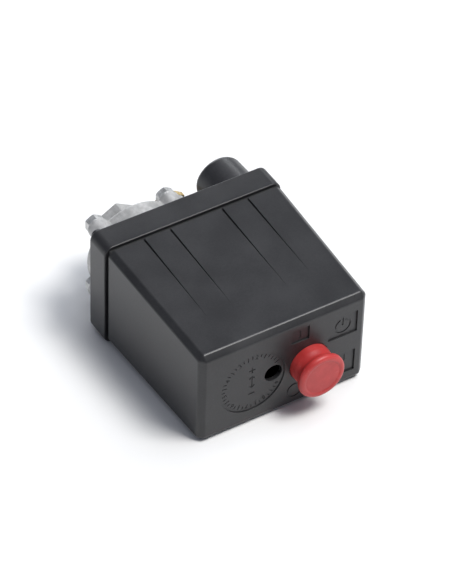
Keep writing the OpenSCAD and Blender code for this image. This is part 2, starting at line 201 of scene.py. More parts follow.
def newPiece(name, bm, paint, body, slot, *nodes, sharp=40, weighted=True):
    bmesh.ops.remove_doubles(bm, verts=bm.verts, dist=0.0005)
    bmesh.ops.scale(bm, vec=(mm, mm, mm), verts=bm.verts)
    for face in bm.faces:
        face.smooth = True
    for edge in bm.edges:
        edge.smooth = edge.calc_face_angle(0) < math.radians(sharp)
    mesh = bpy.data.meshes.new(name)
    bm.to_mesh(mesh)
    bm.free()
    mesh.materials.append(paint)
    piece = bpy.data.objects.new(name, mesh)
    bpy.context.scene.collection.objects.link(piece)
    if weighted:
        shading = piece.modifiers.new("shading", "WEIGHTED_NORMAL")
        shading.keep_sharp = True
        shading.weight = 100
    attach(piece, body)
    if nodes:
        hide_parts(*nodes)
    return piece


class Wire:
    # a socket that adds its own Math nodes when it stands in an expression
    def __init__(self, paint, socket):
        self.paint = paint
        self.socket = socket

    def maths(self, operation, first, second):
        return self.paint.node("ShaderNodeMath", {"operation": operation}, {0: first, 1: second})

    def __add__(self, other):
        return self.maths("ADD", self, other)

    def __sub__(self, other):
        return self.maths("SUBTRACT", self, other)

    def __rsub__(self, other):
        return self.maths("SUBTRACT", other, self)

    def __mul__(self, other):
        return self.maths("MULTIPLY", self, other)

    def over(self, start, end):
        # 0 below start, 1 above end
        return self.paint.node("ShaderNodeMapRange", {"interpolation_type": "SMOOTHSTEP"},
                               {"Value": self, "From Min": start, "From Max": end})

    __radd__ = __add__
    __rmul__ = __mul__


class Paint:
    def __init__(self, name, **fixed):
        self.material = bpy.data.materials.new(name)
        self.material.use_nodes = True
        self.tree = self.material.node_tree
        self.shader = self.tree.nodes["Principled BSDF"]
        for socket, value in fixed.items():
            self.shader.inputs[socket.replace("_", " ")].default_value = value
        self.place = self.node("ShaderNodeTexCoord", outlet="Object")

    def node(self, kind, settings=None, values=None, outlet=0):
        made = self.tree.nodes.new(kind)
        for setting, value in (settings or {}).items():
            setattr(made, setting, value)
        for socket, value in (values or {}).items():
            self.feed(made.inputs[socket], value)
        return Wire(self, made.outputs[outlet])

    def feed(self, socket, value):
        if isinstance(value, Wire):
            self.tree.links.new(value.socket, socket)
        else:
            socket.default_value = value

    def noise(self, size, detail=2.0, rough=0.5, stretch=(1, 1, 1)):
        # soft noise whose features are about size millimetres
        where = self.node("ShaderNodeMapping", {}, {"Vector": self.place, "Scale": stretch})
        return self.node("ShaderNodeTexNoise", {},
                         {"Vector": where, "Scale": 1 / (size * mm), "Detail": detail, "Roughness": rough})

    def cells(self, size, feature="F1"):
        return self.node("ShaderNodeTexVoronoi", {"feature": feature},
                         {"Vector": self.place, "Scale": 1 / (size * mm)})

    def mix(self, share, first, second):
        return self.node("ShaderNodeMix", {"data_type": "RGBA"}, {0: share, 6: first, 7: second}, outlet=2)

    def finish(self, colour, roughness, height=None, depth=0.02, strength=1.0):
        # depth is the height of the relief in millimetres
        self.feed(self.shader.inputs["Base Color"], colour)
        self.feed(self.shader.inputs["Roughness"], roughness)
        if height is not None:
            relief = self.node("ShaderNodeBump", {}, {"Height": height, "Distance": depth * mm,
                                                      "Strength": strength})
            self.feed(self.shader.inputs["Normal"], relief)
        return self.material


def grey(level, blue=1.0):
    return (level, level, level * blue, 1)


def mouldedPlastic(name, dark, light, roughness, grain=0.22, relief=0.008):
    # spark-eroded texture with a little dust and faint rubbing marks
    paint = Paint(name, IOR=1.49)
    broad = paint.noise(14, 3)
    fine = paint.noise(grain, 2, 0.6)
    pits = paint.noise(grain * 3.2, 2)
    rubbed = paint.noise(0.35, 2, 0.6, (0.12, 1, 1)).over(0.66, 0.78)
    dust = paint.noise(0.28, 1).over(0.74, 0.8) * paint.noise(9, 2).over(0.45, 0.7)
    tone = (broad * 0.5 + pits * 0.3 + fine * 0.2).over(0.36, 0.64)
    colour = paint.mix(tone, dark, light)
    colour = paint.mix(dust * 0.25, colour, grey(0.3, 0.97))
    rough = roughness + (broad - 0.5) * 0.12 + (fine - 0.5) * 0.16 - rubbed * 0.05 + dust * 0.2
    return paint.finish(colour, rough, fine + pits * 0.6, relief)


def redPlastic():
    # opaque moulded red, scuffed in scattered patches
    paint = Paint("redPlastic", IOR=1.49, Subsurface_Weight=0.06, Subsurface_Scale=0.002)
    broad = paint.noise(7, 3)
    fine = paint.noise(0.3, 2, 0.6)
    scratchA = paint.noise(0.5, 3, 0.65, (1, 1, 0.08)).over(0.62, 0.72)
    scratchB = paint.noise(0.6, 3, 0.65, (0.08, 1, 1)).over(0.64, 0.74)
    marks = (scratchA + scratchB) * paint.noise(3.5, 2).over(0.4, 0.65)
    colour = paint.mix(broad.over(0.35, 0.65), (0.4, 0.028, 0.027, 1), (0.5, 0.042, 0.04, 1))
    colour = paint.mix(marks * 0.4, colour, (0.7, 0.25, 0.26, 1))
    rough = 0.4 + (broad - 0.5) * 0.15 + (fine - 0.5) * 0.12 + marks * 0.12
    return paint.finish(colour, rough, fine + marks * 0.8, 0.01)


def castAlloy():
    # raw die-cast skin: mottled flow marks, fine pits and scattered dark smears
    paint = Paint("castAlloy", Metallic=0.55, IOR=1.5)
    broad = paint.noise(6, 4, 0.6)
    flow = paint.noise(1.6, 4, 0.62, (1, 0.45, 1))
    fine = paint.noise(0.24, 2)
    pits = paint.cells(0.55).over(0.0, 0.32)
    smear = paint.noise(3.2, 3).over(0.58, 0.75)
    tone = (broad * 0.5 + flow * 0.5).over(0.35, 0.65)
    colour = paint.mix(tone, (0.38, 0.378, 0.37, 1), (0.58, 0.575, 0.565, 1))
    colour = paint.mix(smear * 0.35, colour, (0.32, 0.31, 0.29, 1))
    rough = 0.56 + (flow - 0.5) * 0.25 + (fine - 0.5) * 0.15
    return paint.finish(colour, rough, fine * 0.5 + flow * 1.2 + pits * 0.35, 0.07)


def platedSteel(name, dark, light, roughness, tint=None):
    # plated steel with drawn lines, stains and a faint colour drift
    paint = Paint(name, Metallic=1.0)
    broad = paint.noise(3, 3)
    lines = paint.noise(0.25, 3, 0.6, (1, 0.12, 1))
    fine = paint.noise(0.16, 2)
    stain = paint.noise(1.8, 3).over(0.6, 0.75)
    colour = paint.mix((broad * 0.6 + lines * 0.4).over(0.36, 0.64), dark, light)
    colour = paint.mix(stain * 0.4, colour, tint or dark)
    rough = roughness + (lines - 0.5) * 0.2 + (fine - 0.5) * 0.1 + stain * 0.12
    return paint.finish(colour, rough, lines + fine * 0.4, 0.006)


def blackRubber():
    paint = Paint("blackRubber", IOR=1.5)
    fine = paint.noise(0.2, 2)
    bloom = paint.noise(2.5, 3).over(0.5, 0.72)
    colour = paint.mix(bloom * 0.4, grey(0.012), grey(0.035, 1.04))
    return paint.finish(colour, 0.7 + (fine - 0.5) * 0.2, fine, 0.01)


def whiteNylon():
    paint = Paint("whiteNylon", IOR=1.53, Subsurface_Weight=0.15, Subsurface_Scale=0.003)
    broad = paint.noise(5, 3)
    fine = paint.noise(0.3, 2)
    colour = paint.mix(broad.over(0.35, 0.65), (0.66, 0.64, 0.55, 1), (0.78, 0.77, 0.7, 1))
    return paint.finish(colour, 0.42 + (fine - 0.5) * 0.15, fine, 0.008)


def darkBakelite():
    # brown-black thermoset with flecks of filler
    paint = Paint("darkBakelite", IOR=1.6, Coat_Weight=0.15, Coat_Roughness=0.2)
    broad = paint.noise(4, 3)
    flecks = paint.cells(0.4).over(0.0, 0.18)
    colour = paint.mix(broad.over(0.4, 0.6), (0.022, 0.014, 0.01, 1), (0.045, 0.03, 0.022, 1))
    colour = paint.mix((1 - flecks) * 0.3, colour, (0.12, 0.085, 0.06, 1))
    return paint.finish(colour, 0.33 + (broad - 0.5) * 0.2, broad * 0.6 + flecks * 0.2, 0.01)


print("materials")
paints = {
    "black_cover": mouldedPlastic("coverPlastic", grey(0.015, 1.08), grey(0.025, 1.07), 0.37),
    "black_tray": mouldedPlastic("trayPlastic", grey(0.012, 1.1), grey(0.019, 1.08), 0.36),
    "gland_plastic": mouldedPlastic("glandPlastic", grey(0.018, 1.1), grey(0.028, 1.1), 0.36, 0.3, 0.006),
    "red_plastic": redPlastic(),
    "cast_alloy": castAlloy(),
    "zinc_steel": platedSteel("zincSteel", (0.5, 0.51, 0.53, 1), (0.72, 0.73, 0.76, 1), 0.32,
                              (0.36, 0.36, 0.37, 1)),
    "yellow_steel": platedSteel("yellowSteel", (0.52, 0.43, 0.2, 1), (0.72, 0.66, 0.4, 1), 0.3,
                                (0.5, 0.36, 0.4, 1)),
    "spring_steel": platedSteel("springSteel", (0.3, 0.3, 0.31, 1), (0.52, 0.52, 0.54, 1), 0.28),
    "brass": platedSteel("turnedBrass", (0.6, 0.4, 0.13, 1), (0.8, 0.6, 0.26, 1), 0.27, (0.4, 0.24, 0.08, 1)),
    "copper_alloy": platedSteel("copperAlloy", (0.6, 0.3, 0.17, 1), (0.8, 0.47, 0.32, 1), 0.3,
                                (0.36, 0.16, 0.1, 1)),
    "black_rubber": blackRubber(),
    "white_nylon": whiteNylon(),
    "dark_bakelite": darkBakelite(),
}
slotOf = {row["node"]: row["material_slot"] for row in frame["record"]["subparts"]}


coverShape = {
    "wall": plasticWall,
    "chamfer": 2,
    "rounding": 0.5,
    "sideDraft": 1.56,
    "topDraft": 2.73,
    "lowDraft": 0.9,
    "bossRadius": 2.7,
    "bossDepth": 11,
    "pilotRadius": 1.3,
    "pilotDepth": 10,
    "screwsAt": ((-19.4, 19.9), (-19.4, -19.2)),
}
grooves = {"xs": (-8, 2.5, 23.5, 34), "wide": 0.8, "deep": 0.95, "length": 43}
face = {
    "discAt": (0.3, -0.5),
    "discRadius": 13,
    "discDeep": 0.4,
    "accessAt": (8.9, -0.5),
    "accessRadius": 3.5,
    "knobHole": 7.85,
    "recessDeep": 0.6,
    "markDeep": 0.25,
}


def coverBlock(inset, chamfer, rounding):
    s = coverShape
    depth = coverHigh.y - coverLow.y
    front = coverLow.y + inset
    far = (coverHigh.y - front) / depth
    bm = block((coverLow.x + inset, coverHigh.x - inset), (front, coverHigh.y),
               (coverLow.z + inset, coverHigh.z - inset))
    for v in bm.verts:
        if v.co.y < front + 1:
            v.co.x += s["sideDraft"] * far * (1 if v.co.x < 10 else -1)
            v.co.z += far * (s["lowDraft"] if v.co.z < 0 else -s["topDraft"])
    for width, segments in ((chamfer, 1), (rounding, 3)):
        if not width:
            continue
        edges = [e for e in bm.edges if min(v.co.y for v in e.verts) < coverHigh.y - 0.01
                 and e.calc_face_angle(0) > math.radians(20)]
        bmesh.ops.bevel(bm, geom=edges, offset=width, offset_type="OFFSET", segments=segments,
                        profile=0.5, affect="EDGES", clamp_overlap=True, material=-1)
    return bm


def grooveTool(x):
    # a V prism that runs out on the sloping top
    g = grooves
    draft = math.atan(coverShape["topDraft"] / (coverHigh.y - coverLow.y))
    slope = draft - math.atan(g["deep"] / g["length"])
    bm = bmesh.new()
    tall = 2 * g["deep"]
    corners = [bm.verts.new(p) for p in ((0, 1, 0), (-g["wide"], 1, tall), (g["wide"], 1, tall))]
    floor = bm.faces.new(corners)
    made = bmesh.ops.extrude_face_region(bm, geom=[floor])
    bmesh.ops.translate(bm, vec=(0, -g["length"] * 1.2, 0),
                        verts=[v for v in made["geom"] if isinstance(v, bmesh.types.BMVert)])
    bmesh.ops.rotate(bm, cent=(0, 0, 0), matrix=Matrix.Rotation(slope, 3, "X"), verts=bm.verts)
    bmesh.ops.translate(bm, vec=(x, coverHigh.y, coverHigh.z - g["deep"]), verts=bm.verts)
    bmesh.ops.recalc_face_normals(bm, faces=bm.faces)
    return bm


def lettering(words, size, depth, at, turn=0.0):
    # solid characters lying in the X-Z plane, readable from the front
    curve = bpy.data.curves.new("words", "FONT")
    curve.body = words
    curve.size = size
    curve.extrude = depth
    curve.align_x = "CENTER"
    curve.align_y = "CENTER"
    made = bpy.data.objects.new("words", curve)
    bpy.context.collection.objects.link(made)
    bpy.context.view_layer.update()
    solid = made.evaluated_get(bpy.context.evaluated_depsgraph_get())
    bm = bmesh.new()
    bm.from_mesh(solid.to_mesh())
    solid.to_mesh_clear()
    bpy.data.objects.remove(made)
    bpy.data.curves.remove(curve)
    bmesh.ops.remove_doubles(bm, verts=bm.verts, dist=0.0005)
    bmesh.ops.rotate(bm, cent=(0, 0, 0), matrix=Matrix.Rotation(turn, 3, "Z"), verts=bm.verts)
    bmesh.ops.rotate(bm, cent=(0, 0, 0), matrix=Matrix.Rotation(math.radians(90), 3, "X"), verts=bm.verts)
    bmesh.ops.translate(bm, vec=(at[0], at[1], at[2]), verts=bm.verts)
    bmesh.ops.recalc_face_normals(bm, faces=bm.faces)
    return bm


def bar(centre, wide, tall, y, turn=0.0):
    # a small upright block for an engraved stroke
    bm = block((-wide / 2, wide / 2), y, (-tall / 2, tall / 2))
    bmesh.ops.rotate(bm, cent=(0, 0, 0), matrix=Matrix.Rotation(turn, 3, "Y"), verts=bm.verts)
    bmesh.ops.translate(bm, vec=(centre[0], 0, centre[1]), verts=bm.verts)
    return bm


def dialMarks():
    # a plain scale round the disc: strokes with a number at every fourth
    cx, cz = face["discAt"]
    depth = (coverLow.y - 1, coverLow.y + face["discDeep"] + face["markDeep"])
    marks = []
    count = 40
    for i in range(3, count - 2):
        angle = 2 * math.pi * i / count
        reach = Vector((math.cos(angle), math.sin(angle)))
        if i % 4 == 1:
            spot = Vector((cx, cz)) + reach * 10.9
            marks.append(lettering(str(i // 4), 2.6, 1.0, (spot.x, depth[1] - 1.0, spot.y),
                                   angle - math.pi / 2))
            continue
        long = 1.9 if i % 2 else 1.3
        spot = Vector((cx, cz)) + reach * (12.0 - long / 2)
        marks.append(bar(spot, 0.35, long, depth, math.pi / 2 - angle))
    marks.append(bar((cx, cz + 5.4), 0.5, 2.4, depth))
    marks.append(bar((cx, cz), 0.45, 5.2, depth))
    for side in (-1, 1):
        marks.append(bar((cx + side * 0.55, cz + 2.1), 0.4, 1.5, depth, -side * 0.8))
        marks.append(bar((cx + side * 0.55, cz - 2.1), 0.4, 1.5, depth, side * 0.8))
        marks.append(bar((cx + side * 0.75, cz + 5.4), 0.9, 0.5, depth))
    marks.append(bar((cx, cz - 5.4), 2.4, 0.5, depth))
    return marks


def panelMarks():
    # power sign, on and off strokes in the shallow windows
    floor = coverLow.y + face["recessDeep"] + face["markDeep"]
    depth = (coverLow.y - 1, floor)
    sign = ring((36.6, 8.5), 2.6, 3.3, depth[0], depth[1], 40)
    carve(sign, block((35.6, 37.6), (depth[0] - 1, depth[1] + 1), (10, 13)))
    off = ring((17.6, -12.5), 2.6, 3.2, coverLow.y - 1, coverLow.y + face["markDeep"], 40)
    return [sign, bar((36.6, 10.4), 0.7, 3.4, depth), bar((37.9, -7.6), 0.8, 3.1, depth),
            bar((19.1, 12.7), 0.8, 3.4, depth), off]


def makeCover():
    s = coverShape
    shell = coverBlock(0, s["chamfer"], s["rounding"])
    hollow = coverBlock(s["wall"], 0.8, 0)
    for v in hollow.verts:
        if v.co.y > coverHigh.y - 0.01:
            v.co.y += 1
    for at in s["screwsAt"]:
        carve(hollow, rod(at, s["bossRadius"], coverHigh.y - s["bossDepth"], coverHigh.y + 2, 32))
    carve(shell, hollow)
    front = (coverLow.y - 1, coverLow.y + s["wall"] + 1)
    cuts = gather(rod(knobAt, face["knobHole"], *front), rod(face["accessAt"], face["accessRadius"], *front))
    for at in s["screwsAt"]:
        gather(cuts, rod(at, s["pilotRadius"], coverHigh.y - s["pilotDepth"], coverHigh.y + 1, 24))
    carve(shell, cuts)
    carve(shell, rod(face["discAt"], face["discRadius"], coverLow.y - 1, coverLow.y + face["discDeep"], 96))
    panel = (coverLow.y - 1, coverLow.y + face["recessDeep"])
    windows = gather(block((30.6, 42.3), panel, (3.8, 13.5)), block((34, 42.1), panel, (-14.5, -4.6)),
                     block((15.5, 22.7), panel, (9.7, 15.7)))
    carve(shell, windows)
    softEdges(shell, 0.26)
    marks = dialMarks() + panelMarks()
    carve(shell, gather(marks[0], *marks[1:]), crossing=True)
    for x in grooves["xs"]:
        carve(shell, grooveTool(x))
    newPiece("coverShell", shell, paints["black_cover"], "cover_shell", "black_cover", "cover")


print("cover")
makeCover()


trayShape = {
    "floor": 2.6,
    "corner": 3.5,
    "edge": 0.55,
    "lipGap": 0.25,
    "lipWall": 1.5,
    "lipLength": 4,
    "tubeRadius": 7.4,
    "tubeBore": 5.2,
    "glandAt": (38, 10.6),
}
flangeScrewsAt = [(sx * 14.3, sz * 14.3) for sx in (-1, 1) for sz in (-1, 1)]


def lipBlock(inset, y):
    bm = block((coverLow.x + inset, coverHigh.x - inset), y, (coverLow.z + inset, coverHigh.z - inset))
    upright = [e for e in bm.edges if abs(e.verts[0].co.y - e.verts[1].co.y) > 1]
    bmesh.ops.bevel(bm, geom=upright, offset=1, offset_type="OFFSET", segments=1, profile=0.5,
                    affect="EDGES", clamp_overlap=True, material=-1)
    return bm


def makeTray():
    s = trayShape
    tray = block((trayLow.x, trayHigh.x), (seamBack, trayBack), (trayLow.z, trayHigh.z))
    upright = [e for e in tray.edges if abs(e.verts[0].co.y - e.verts[1].co.y) > 1]
    bmesh.ops.bevel(tray, geom=upright, offset=s["corner"], offset_type="OFFSET", segments=10, profile=0.5,
                    affect="EDGES", clamp_overlap=True, material=-1)
    for y, width in ((trayBack, s["edge"]), (seamBack, 0.45)):
        rim = [e for e in tray.edges if all(abs(v.co.y - y) < 0.01 for v in e.verts)]
        bmesh.ops.bevel(tray, geom=rim, offset=width, offset_type="OFFSET", segments=3, profile=0.5,
                        affect="EDGES", clamp_overlap=True, material=-1)
    inset = plasticWall + s["lipGap"]
    lipFront = coverHigh.y - s["lipLength"]
    lip = lipBlock(inset, (lipFront, seamBack + 1))
    carve(tray, lip, "UNION")
    for sign in (-1, 1):
        at = (s["glandAt"][0], sign * s["glandAt"][1])
        carve(tray, rod(at, s["tubeRadius"], trayBack - 0.5, trayHigh.y), "UNION")
    floor = trayBack - s["floor"]
    carve(tray, lipBlock(inset + s["lipWall"], (lipFront - 1, floor)))
    through = (floor - 1, trayBack + 1)
    cuts = rod((0, 0), 16.2, *through)
    for at in flangeScrewsAt:
        gather(cuts, rod(at, 2.3, *through, steps=32))
    gather(cuts, rod(unloaderAt, 3.2, *through, steps=40))
    for sign in (-1, 1):
        at = (s["glandAt"][0], sign * s["glandAt"][1])
        gather(cuts, rod(at, s["tubeBore"], floor - 1, trayHigh.y + 1))
    for at in coverShape["screwsAt"]:
        gather(cuts, turned([(0, lipFront - 1), (3, lipFront - 1), (3, seamBack), (1.4, seamBack),
                             (1.4, trayBack + 1), (0, trayBack + 1)], at, 32))
    carve(tray, cuts, crossing=True)
    softEdges(tray, 0.15, least=50)
    newPiece("baseTray", tray, paints["black_tray"], casing, "black_tray", "base_tray")


print("tray")
makeTray()


portShape = {
    "flangeRadius": 19.1,
    "flangeBack": -11.5,
    "earRadius": 3.9,
    "headFlats": 6.2,
    "bossEnd": -2.6,
    "hexFlats": 17,
    "bore": 5.72,
    "boreDepth": 13,
    "voxel": 0.36,
}


def makePort():
    s = portShape
    back = s["flangeBack"]
    body = turned([(0, trayBack), (s["flangeRadius"], trayBack), (s["flangeRadius"], back - 1.2),
                   (s["flangeRadius"] - 1.2, back), (0, back)], (0, 0))
    parts = [rod(at, s["earRadius"], trayBack, back) for at in flangeScrewsAt]
    parts.append(hexRod((0, 0), s["hexFlats"], back - 2, 0.8))
    parts.append(rod(unloaderAt, 6.3, trayBack, s["bossEnd"]))
    parts.append(rod(unloaderAt, 4.55, -5, -2.4))
    parts.append(block((0, unloaderAt[0]), (trayBack, -13), (-5, 5)))
    gather(body, *parts)
    skin = workObject(body)
    remesh = skin.modifiers.new("skin", "REMESH")
    remesh.mode = "VOXEL"
    remesh.voxel_size = s["voxel"]
    bpy.context.view_layer.update()
    body.clear()
    body.from_object(skin, bpy.context.evaluated_depsgraph_get())
    discard(skin)
    for _ in range(5):
        bmesh.ops.smooth_vert(body, verts=body.verts, factor=0.5, use_axis_x=True,
                              use_axis_y=True, use_axis_z=True)
    cuts = block((-30, 30), (0, 5), (-30, 30))
    gather(cuts, block((-30, 30), (trayBack - 5, trayBack), (-30, 30)))
    carve(body, cuts)
    bores = turned([(0, 1), (s["bore"] + 1.2, 1), (s["bore"] + 0.1, -0.7), (s["bore"] + 0.1, -s["boreDepth"]),
                    (2.5, -s["boreDepth"]), (2.5, -18.5), (12.5, -18.5), (12.5, trayBack - 1),
                    (0, trayBack - 1)],
                   (0, 0))
    gather(bores, turned([(0, 0), (3.1, 0), (3.1, -10), (1.35, -10), (1.35, -14.2), (2.7, -14.2),
                          (2.7, trayBack - 1), (0, trayBack - 1)], unloaderAt, 48))
    for at in flangeScrewsAt:
        gather(bores, rod(at, 2.2, trayBack - 1, back + 1, 32))
    carve(body, bores)
    newPiece("portCasting", body, paints["cast_alloy"], casing, "cast_alloy", "port_casting", weighted=False)
    thread = []
    y = -0.75
    pitch = 1.34
    while y > -s["boreDepth"] + pitch:
        thread += [(s["bore"], y), (s["bore"], y - 0.15), (s["bore"] - 0.72, y - pitch / 2),
                   (s["bore"] - 0.72, y - pitch / 2 - 0.12)]
        y -= pitch
    outer = s["bore"] + 0.09
    thread = [(outer, -0.7)] + thread + [(s["bore"], y), (outer, y), (outer, -0.7)]
    newPiece("portThread", turned(thread, (0, 0)), machined, casing, "cast_alloy")


def machinedAlloy():
    # turned lines on cut alloy
    paint = Paint("machinedAlloy", Metallic=1.0)
    broad = paint.noise(4, 2)
    lines = paint.noise(0.12, 2, 0.6, (0.2, 1, 0.2))
    colour = paint.mix(broad.over(0.35, 0.65), (0.68, 0.68, 0.67, 1), (0.84, 0.84, 0.83, 1))
    return paint.finish(colour, 0.26 + (lines - 0.5) * 0.2, lines, 0.006)


def hexHead(at, flats, y0, y1, dish=0.55):
    # hexagon with its outer corners turned off
    corner = flats / 2 / math.cos(math.radians(30))
    head = hexRod(at, flats, y0, y1)
    limit = turned([(0, y0 - 1), (corner + 1, y0 - 1), (corner + 1, y1 - dish - 0.55), (flats / 2 - 0.15, y1),
                    (0, y1)], at)
    return carve(head, limit, "INTERSECT")


def makeFlangeScrews():
    back = portShape["flangeBack"]
    tip = box("flange_screws")[0].y
    top = box("flange_screws")[1].y
    for at in flangeScrewsAt:
        head = hexHead(at, portShape["headFlats"], back + 0.4, top, 0.1)
        carve(head, rod(at, 1.9, top - 0.3, top + 1, 40))
        softEdges(head, 0.12)
        gather(head, turned([(0, back + 0.45), (3.4, back + 0.45), (3.5, back + 0.05), (1.95, back),
                             (1.95, tip + 0.6), (1.5, tip), (0, tip)], at, 40))
        corner = "{}{}".format("Upper" if at[1] > 0 else "Lower", "Right" if at[0] > 0 else "Left")
        nodes = ["flange_screws"] if corner == "UpperLeft" else []
        newPiece("flangeScrew" + corner, head, dullZinc, casing, "zinc_steel", *nodes)


def makeUnloaderNut():
    nut = hexHead(unloaderAt, nutHigh.x - nutLow.x, nutLow.y, nutHigh.y, 0.4)
    inside = turned([(0, nutLow.y - 1), (4.7, nutLow.y - 1), (4.7, -1.2), (3.1, -1.2), (3.1, -0.5),
                     (3.5, 0.2), (0, 0.2)], unloaderAt, 48)
    carve(nut, inside)
    softEdges(nut, 0.12)
    newPiece("unloaderNut", nut, paints["brass"], "tube_nut", "brass", "unloader_nut")


print("port")
dullZinc = platedSteel("dullZinc", (0.5, 0.5, 0.49, 1), (0.78, 0.78, 0.76, 1), 0.52, (0.4, 0.39, 0.37, 1))
machined = machinedAlloy()
makePort()
makeFlangeScrews()
makeUnloaderNut()


sealBack = box("gland_seal_upper")[1].y


def makeGland(name, node, body):
    low, high = box(node)
    at = ((low.x + high.x) / 2, (low.z + high.z) / 2)
    radius = (high.x - low.x) / 2
    end = high.y
    grip = sealBack + 0.1
    profile = [(7.5, low.y), (radius - 0.35, low.y), (radius, low.y + 0.4), (radius, -18),
               (radius - 0.28, end - 1.9), (radius - 0.4, end - 1.3), (radius - 0.72, end - 0.7),
               (radius - 1.25, end - 0.25), (radius - 2, end)]
    profile += [(5.0, end), (4.55, end - 0.3), (4.4, end - 0.8), (4.4, grip), (6.3, grip), (6.3, grip - 2.75),
                (7.5, grip - 2.75), (7.5, low.y)]
    newPiece(name, turned(profile, at, 96), paints["gland_plastic"], body, "gland_plastic", node)


def makeSeal(name, node):
    low, high = box(node)
    at = ((low.x + high.x) / 2, (low.z + high.z) / 2)
    outer = (high.x - low.x) / 2
    profile = [(3.6, low.y + 0.3), (3.9, low.y), (outer - 0.2, low.y), (outer, low.y + 0.2),
               (outer, high.y - 0.2), (outer - 0.2, high.y), (4.1, high.y), (3.6, high.y - 0.5)]
    middle = (low.y + high.y) / 2
    profile += [(3.9, middle + 0.3), (3.9, middle - 0.3), (3.6, low.y + 0.8), (3.6, low.y + 0.3)]
    newPiece(name, turned(profile, at), paints["black_rubber"], casing, "black_rubber", node)


print("glands")
makeGland("glandUpper", "gland_nut_upper", "upper_gland")
makeGland("glandLower", "gland_nut_lower", "lower_gland")
makeSeal("glandSealUpper", "gland_seal_upper")
makeSeal("glandSealLower", "gland_seal_lower")


def makeKnob():
    front = knobLow.y
    tail = knobHigh.y
    cap = (knobHigh.x - knobLow.x) / 2
    neck = 7.7
    profile = [(0, front + 0.35), (cap - 2.5, front + 0.35), (cap - 2.25, front + 0.28),
               (cap - 2.0, front + 0.08), (cap - 1.7, front), (cap - 1.3, front)]
    for i in range(1, 7):
        a = math.radians(15 * i)
        profile.append((cap - 1.3 + 1.3 * math.sin(a), front + 1.3 - 1.3 * math.cos(a)))
    profile += [(cap, front + 1.8), (cap - 0.15, front + 2.2), (cap - 0.6, front + 2.55),
                (neck + 0.3, front + 2.9),
                (neck - 0.2, front + 3.3), (neck - 0.5, front + 3.8), (neck - 0.55, front + 4.4),
                (neck - 0.4, front + 5.2), (neck - 0.15, front + 6.1), (neck, front + 6.8),
                (neck, tail - 1.3),
                (neck + 0.9, tail - 1.2), (neck + 0.85, tail - 0.8), (neck + 0.4, tail), (neck - 1.5, tail),
                (neck - 1.5, coverLow.y - 3), (4.5, coverLow.y - 3), (4.5, tail), (3.4, tail),
                (3, tail - 0.4),
                (3, coverLow.y - 3), (0, coverLow.y - 3)]
    knob = turned(profile, knobAt, 96)
    fingers = gather(block((-10, 10), (coverLow.y + 3, tail + 1), (-1.5, 1.5)),
                     block((-1.5, 1.5), (coverLow.y + 3, tail + 1), (-10, 10)))
    bmesh.ops.translate(fingers, vec=(knobAt[0], 0, knobAt[1]), verts=fingers.verts)
    carve(fingers, rod(knobAt, 4.6, coverLow.y, tail + 2, 48), crossing=True)
    carve(knob, fingers)
    newPiece("knobCap", knob, paints["red_plastic"], "knob_cap", "red_plastic", "knob", sharp=50)


print("knob")
makeKnob()


def makeCoverScrews():
    low, high = box("cover_screws")
    for name, at in zip(("coverScrewUpper", "coverScrewLower"), coverShape["screwsAt"]):
        head = trayBack + 0.02
        top = high.y
        screw = turned([(0, low.y), (0.3, low.y + 0.2), (1.0, low.y + 1.6), (1.2, low.y + 2.4), (1.2, head),
                        (2.2, head), (2.2, head + 0.9), (1.95, head + 1.3), (1.4, top - 0.06), (0.7, top),
                        (0, top)],
                       at, 48)
        deep = (top - 1.0, top + 1)
        cross = gather(block((at[0] - 1.25, at[0] + 1.25), deep, (at[1] - 0.25, at[1] + 0.25)),
                       block((at[0] - 0.25, at[0] + 0.25), deep, (at[1] - 1.25, at[1] + 1.25)))
        carve(screw, cross, crossing=True)
        nodes = ["cover_screws"] if name == "coverScrewUpper" else []
        newPiece(name, screw, darkSteel, casing, "black_tray", *nodes)


print("cover screws")
darkSteel = platedSteel("darkSteel", (0.03, 0.03, 0.032, 1), (0.07, 0.07, 0.075, 1), 0.4)
makeCoverScrews()


def refined(name, node, width=0.15, segments=2, paint=None):
    # a copy of the CAD node with its doubles merged and its outer edges rounded
    bm = bmesh.new()
    bm.from_mesh(frame["nodes"][node].data)
    bmesh.ops.scale(bm, vec=(1 / mm, 1 / mm, 1 / mm), verts=bm.verts)
    softEdges(bm, width, segments)
    slot = slotOf[node]
    return newPiece(name, bm, paint or paints[slot], frame["nodes"][node]["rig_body"], slot, node)


def threaded(radius, y0, y1, pitch, depth):
    # profile points of a thread from y0 up to y1
    turns = int((y1 - y0) / pitch)
    points = []
    for i in range(turns):
        y = y0 + i * pitch
        points += [(radius - depth, y), (radius, y + 0.42 * pitch), (radius, y + 0.58 * pitch)]
    return points + [(radius - depth, y0 + turns * pitch)]


def makeAdjuster(name, node, body, radius, headRadius, headTall, slotWide, pitch):
    low, high = box(node)
    at = ((low.x + high.x) / 2, (low.z + high.z) / 2)
    front = low.y
    collar = front + headTall
    profile = [(0, front), (headRadius - 0.3, front), (headRadius, front + 0.3), (headRadius, collar - 0.2),
               (headRadius - 0.2, collar), (radius, collar), (radius, collar + 4)]
    profile += threaded(radius, collar + 4, high.y - 0.6, pitch, 0.45)
    profile += [(radius - 0.5, high.y - 0.4), (radius - 1, high.y), (0, high.y)]
    screw = turned(profile, at, 64)
    carve(screw, block((at[0] - 10, at[0] + 10), (front - 1, front + headTall * 0.35),
                       (at[1] - slotWide / 2, at[1] + slotWide / 2)))
    newPiece(name, screw, paints[slotOf[node]], body, slotOf[node], node)


springs = {
    "rangeSpring": ("range_spring", 0.8, 7, "range_seat_slide", 3.0, 1),
    "differentialSpring": ("differential_spring", 0.5, 9, "differential_seat_slide", 1.4, 1),
    "tripSpring": ("trip_spring", 0.4, 3, "stem_slide", 2.45, 0),
    "unloaderSpring": ("unloader_spring", 0.3, 4, None, 0, 0),
}


